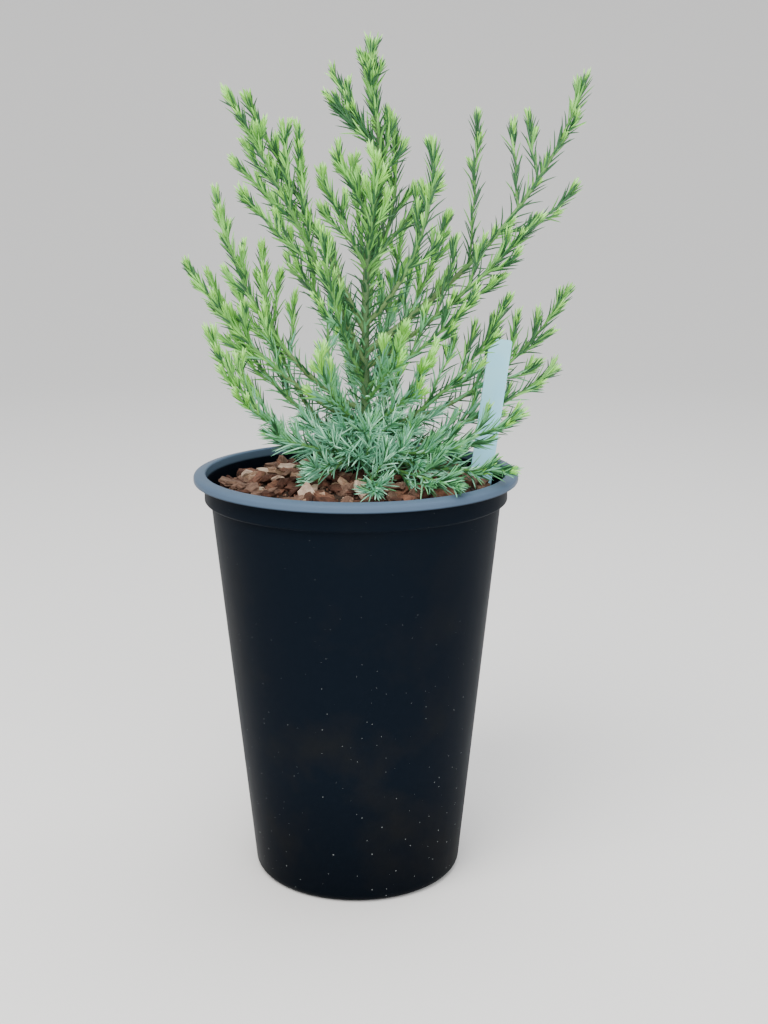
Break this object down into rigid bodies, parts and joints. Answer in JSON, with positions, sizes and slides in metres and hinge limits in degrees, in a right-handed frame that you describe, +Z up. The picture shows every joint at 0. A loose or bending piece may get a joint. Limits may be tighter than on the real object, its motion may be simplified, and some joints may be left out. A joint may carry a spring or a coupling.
{
  "type": "potted giant sequoia sapling",
  "caption": "Young giant sequoia with upswept, needle-covered boughs round a slim leaning stem, growing from bark-covered compost in a tall tapered nursery pot.",
  "frame": {"origin": "centre of the pot's flat underside", "axes": "+Z up the plant, +X to the right and +Y away from the front as the picture shows it"},
  "size_m": [0.2082, 0.17, 0.439],
  "materials": {
    "pot": "satin",
    "compost": "matte",
    "label": "satin",
    "bark": "matte",
    "foliage": "matte"
  },
  "bodies": {
    "root": {"back_aside_foliage": "foliage", "back_inner_foliage": "foliage", "back_left_foliage": "foliage", "back_low_foliage": "foliage", "back_mid_foliage": "foliage", "back_right_foliage": "foliage", "back_side_foliage": "foliage", "back_top_foliage": "foliage", "base_front_foliage": "foliage", "base_left_foliage": "foliage", "base_near_foliage": "foliage", "base_right_foliage": "foliage", "base_side_foliage": "foliage", "compost": "compost", "front_left_foliage": "foliage", "front_mid_foliage": "foliage", "front_right_foliage": "foliage", "front_top_foliage": "foliage", "leader_foliage": "foliage", "left_crest_foliage": "foliage", "left_edge_bough": "bark", "left_edge_foliage": "foliage", "left_far_bough": "bark", "left_far_foliage": "foliage", "left_high_bough": "bark", "left_high_foliage": "foliage", "left_inner_bough": "bark", "left_inner_foliage": "foliage", "left_low_bough": "bark", "left_low_foliage": "foliage", "left_mid_foliage": "foliage", "left_near_foliage": "foliage", "left_ridge_bough": "bark", "left_ridge_foliage": "foliage", "left_top_foliage": "foliage", "left_upper_foliage": "foliage", "left_wide_bough": "bark", "left_wide_foliage": "foliage", "plant_label": "label", "pot": "pot", "right_back_bough": "bark", "right_back_foliage": "foliage", "right_crest_foliage": "foliage", "right_curved_bough": "bark", "right_curved_foliage": "foliage", "right_far_bough": "bark", "right_far_foliage": "foliage", "right_ground_foliage": "foliage", "right_high_bough": "bark", "right_high_foliage": "foliage", "right_inner_bough": "bark", "right_inner_foliage": "foliage", "right_low_bough": "bark", "right_low_foliage": "foliage", "right_mid_foliage": "foliage", "right_rear_foliage": "foliage", "right_top_foliage": "foliage", "right_wide_bough": "bark", "right_wide_foliage": "foliage", "trunk": "bark"}
  },
  "joints": []
}
